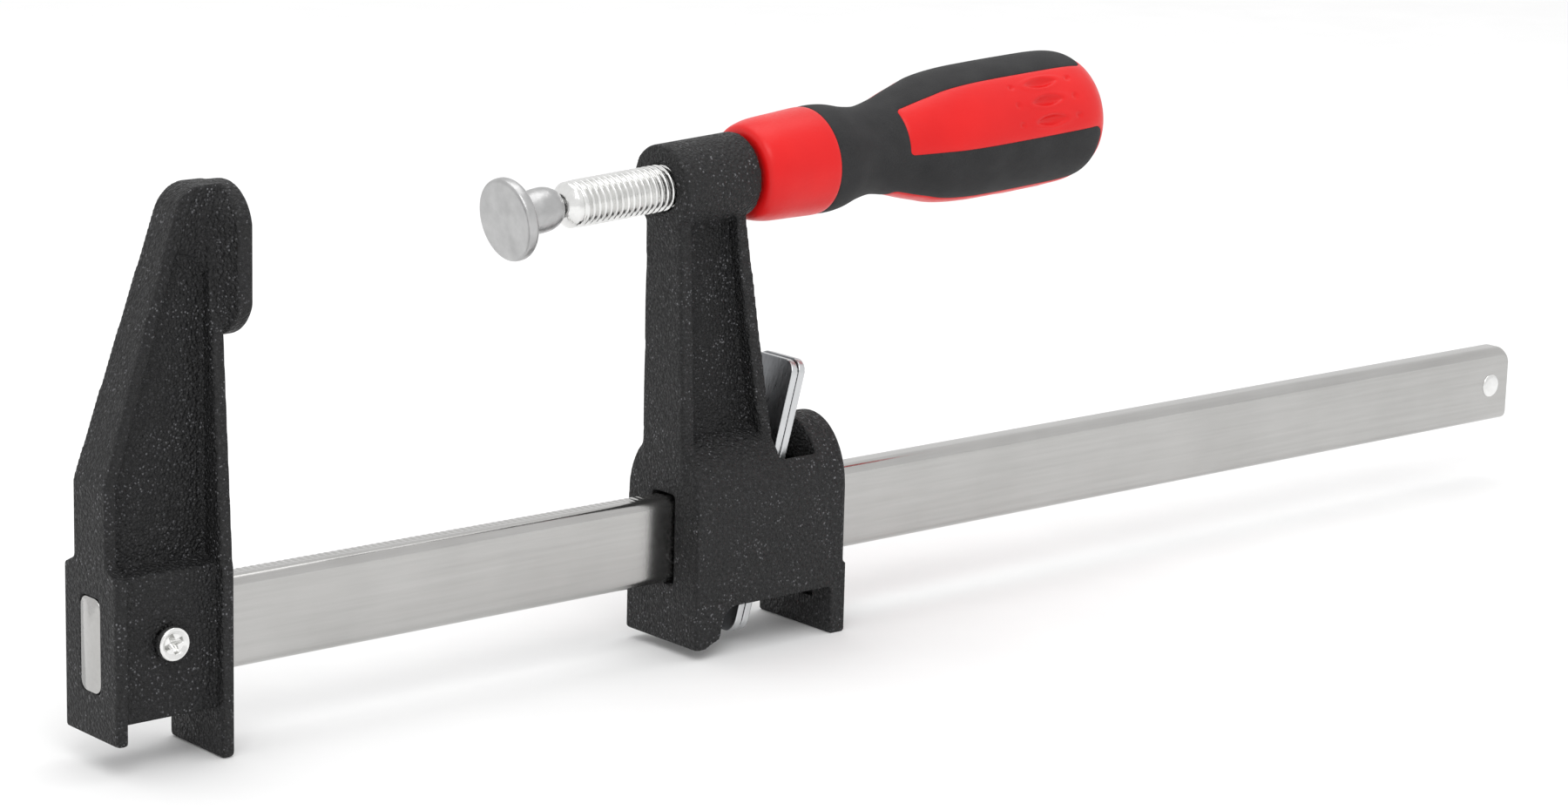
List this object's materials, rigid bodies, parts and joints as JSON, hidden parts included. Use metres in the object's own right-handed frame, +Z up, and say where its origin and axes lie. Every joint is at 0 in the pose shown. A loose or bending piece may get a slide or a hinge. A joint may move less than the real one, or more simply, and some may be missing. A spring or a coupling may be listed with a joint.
{
  "type": "f clamp",
  "caption": "Light-duty F clamp: flat steel bar, cast fixed jaw, sliding jaw held by tilting plates, screw spindle with swivel pad, and a two-part grip handle.",
  "frame": {"origin": "underside of the bar on its centre plane, in line with the fixed jaw's outer face", "axes": "+X along the bar away from the fixed jaw, +Z up from the bar towards the jaws' clamping faces"},
  "size_m": [0.4167, 0.0304, 0.1223],
  "materials": {
    "bar_steel": "satin, zinc plated",
    "black_paint": "wrinkle texture, semi gloss, over cast iron",
    "zinc_bright": "bright zinc plated steel",
    "plate_steel": "sheared galvanised steel plate",
    "spring_steel": "plain spring wire",
    "red_plastic": "glossy",
    "charcoal_rubber": "matt, fine grain"
  },
  "bodies": {
    "frame": {"bar": "bar_steel", "fixed_jaw": "black_paint", "jaw_screw": "zinc_bright", "stop_pin": "bar_steel"},
    "slider": {"sliding_jaw": "black_paint", "clutch_spring": "spring_steel"},
    "clutch": {"clutch_plate_front": "plate_steel", "clutch_plate_rear": "plate_steel"},
    "carrier": {"pad_ring": "spring_steel"},
    "screw": {"spindle": "zinc_bright", "handle_core": "red_plastic", "handle_grip": "charcoal_rubber"},
    "pad": {"swivel_pad": "zinc_bright"}
  },
  "joints": [
    {"name": "slide_jaw", "type": "slide", "parent": "frame", "child": "slider", "axis": [1, 0, 0], "range_m": [-0.0643, 0.2238]},
    {"name": "plates_release", "type": "hinge", "parent": "slider", "child": "clutch", "pos_m": [0.166, 0, 0.0275], "axis": [0, -1, 0], "range_deg": [0, 12], "stiffness_Nm_per_rad": 0.25, "springref_deg": -28.65, "deforming": ["clutch_spring"]},
    {"name": "screw_feed", "type": "slide", "parent": "slider", "child": "carrier", "axis": [0.9985, 0, 0.055], "range_m": [-0.00038, 0.01801]},
    {"name": "screw_turn", "type": "hinge", "parent": "carrier", "child": "screw", "pos_m": [0.13915, 0, 0.08566], "axis": [0.9985, 0, 0.055], "range_deg": [-90, 4320]},
    {"name": "pad_tilt", "type": "hinge", "parent": "carrier", "child": "pad", "pos_m": [0.1068, 0, 0.08388], "axis": [0, 1, 0], "range_deg": [0, 10]}
  ],
  "couplings": [
    {"joint": "screw_feed", "follows": "screw_turn", "m_per_rad": 0.00023873}
  ]
}
